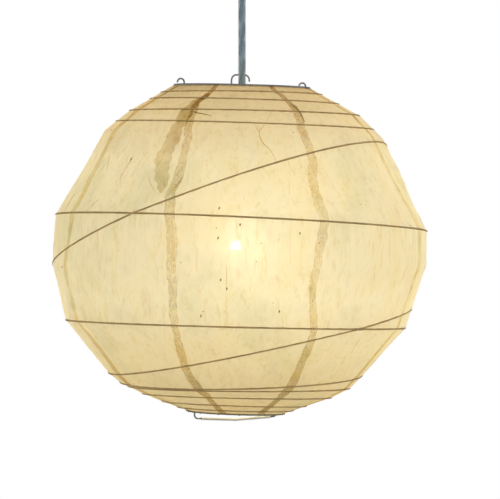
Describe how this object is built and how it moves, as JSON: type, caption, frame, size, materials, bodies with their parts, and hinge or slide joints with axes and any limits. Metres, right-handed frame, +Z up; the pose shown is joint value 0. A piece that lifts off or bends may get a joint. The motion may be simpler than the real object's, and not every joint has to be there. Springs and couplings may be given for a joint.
{
  "type": "paper lantern",
  "caption": "Round white paper lantern with uneven wire ribs, lit from inside by a bulb and hung on a clear-sheathed cord from a ceiling cup.",
  "frame": {"origin": "middle of the ceiling cup's top face, where the fitting meets the ceiling", "axes": "+Z up to the ceiling; the expander frame lies in the XZ plane"},
  "size_m": [0.359, 0.3615, 0.463],
  "materials": {
    "paper": "fibrous",
    "rib_wire": "matt",
    "ring_wire": "satin",
    "frame_wire": "satin",
    "sleeve_plastic": "extruded",
    "cup_paint": "satin",
    "zinc_steel": "zinc plated",
    "grip_plastic": "moulded",
    "block_plastic": "moulded",
    "cord_sheath": "clear over grey",
    "holder_plastic": "moulded",
    "ceramic_core": "unglazed",
    "brass": "bright",
    "bulb_glass": "frosted",
    "bulb_metal": "bright",
    "bulb_black": "black glass",
    "stem_glass": "clear",
    "filament": "glowing"
  },
  "bodies": {
    "ceiling": {"ceiling_cup": "cup_paint", "ceiling_strap": "zinc_steel", "cup_screws": "zinc_steel", "cord_grip": "grip_plastic", "grip_nut": "zinc_steel", "terminal_block": "block_plastic", "cord_tail": "cord_sheath"},
    "pendant": {"power_cord": "cord_sheath", "cord_bushing": "holder_plastic", "holder_cap": "holder_plastic", "holder_sleeve": "holder_plastic", "holder_core": "ceramic_core", "screw_shell": "brass", "centre_contact": "brass", "terminal_screws": "brass"},
    "bulb": {"bulb_glass": "bulb_glass", "bulb_cap": "bulb_metal", "bulb_insulator": "bulb_black", "bulb_tip": "bulb_metal", "bulb_stem": "stem_glass", "bulb_filament": "filament"},
    "shade": {"expander_wire": "frame_wire", "rod_sleeve": "sleeve_plastic", "cross_wire": "frame_wire", "hanging_hook": "frame_wire", "top_ring": "ring_wire", "rib_01": "rib_wire", "rib_02": "rib_wire", "rib_03": "rib_wire", "rib_04": "rib_wire", "rib_05": "rib_wire", "rib_06": "rib_wire", "rib_07": "rib_wire", "rib_08": "rib_wire", "rib_09": "rib_wire", "rib_10": "rib_wire", "rib_11": "rib_wire", "rib_12": "rib_wire", "rib_13": "rib_wire", "paper_panel_1": "paper", "paper_panel_2": "paper", "paper_panel_3": "paper", "paper_panel_4": "paper", "paper_panel_5": "paper", "paper_panel_6": "paper", "paper_panel_7": "paper", "paper_panel_8": "paper"},
    "shade_foot": {"bottom_ring": "ring_wire"}
  },
  "joints": [
    {"name": "cord_swing", "type": "hinge", "parent": "ceiling", "child": "pendant", "pos_m": [0, 0, -0.046], "axis": [0, 1, 0], "range_deg": [-10, 10]},
    {"name": "bulb_out", "type": "slide", "parent": "pendant", "child": "bulb", "axis": [0, 0, -1], "range_m": [0, 0.05]},
    {"name": "shade_turn", "type": "hinge", "parent": "pendant", "child": "shade", "pos_m": [0, 0, -0.1868], "axis": [0, 0, 1], "continuous": true},
    {"name": "shade_fold", "type": "slide", "parent": "shade", "child": "shade_foot", "axis": [0.0199, -0.0097, 0.9998], "range_m": [0, 0.262], "deforming": ["rib_01", "rib_02", "rib_03", "rib_04", "rib_05", "rib_06", "rib_07", "rib_08", "rib_09", "rib_10", "rib_11", "rib_12", "rib_13", "paper_panel_1", "paper_panel_2", "paper_panel_3", "paper_panel_4", "paper_panel_5", "paper_panel_6", "paper_panel_7", "paper_panel_8"]}
  ]
}
